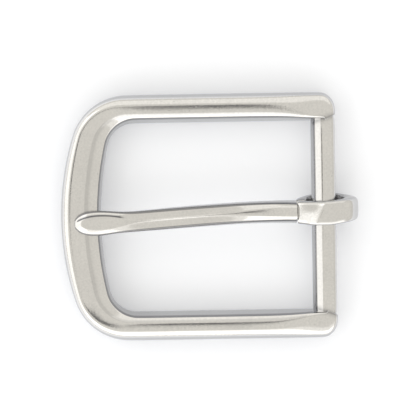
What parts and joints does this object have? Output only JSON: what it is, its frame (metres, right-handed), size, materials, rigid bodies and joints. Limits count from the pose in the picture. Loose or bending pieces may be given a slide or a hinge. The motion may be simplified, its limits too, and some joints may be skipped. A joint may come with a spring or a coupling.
{
  "type": "belt buckle",
  "caption": "Polished single-prong belt buckle: a D-shaped frame with a bowed front rail and a heel bar, and a faceted tongue hinged on the bar.",
  "frame": {"origin": "centre of the heel bar, on the axis that the tongue swings about", "axes": "+X from the front rail to the heel bar and out along the strap, +Y along the heel bar, +Z out of the face"},
  "size_m": [0.0574, 0.0474, 0.0088],
  "materials": {
    "frame_metal": "polished",
    "tongue_metal": "polished"
  },
  "bodies": {
    "frame": {"frame": "frame_metal"},
    "tongue": {"tongue": "tongue_metal"}
  },
  "joints": [
    {"name": "tongue_hinge", "type": "hinge", "parent": "frame", "child": "tongue", "pos_m": [0, 0, 0], "axis": [0, 1, 0], "range_deg": [0, 349]}
  ]
}
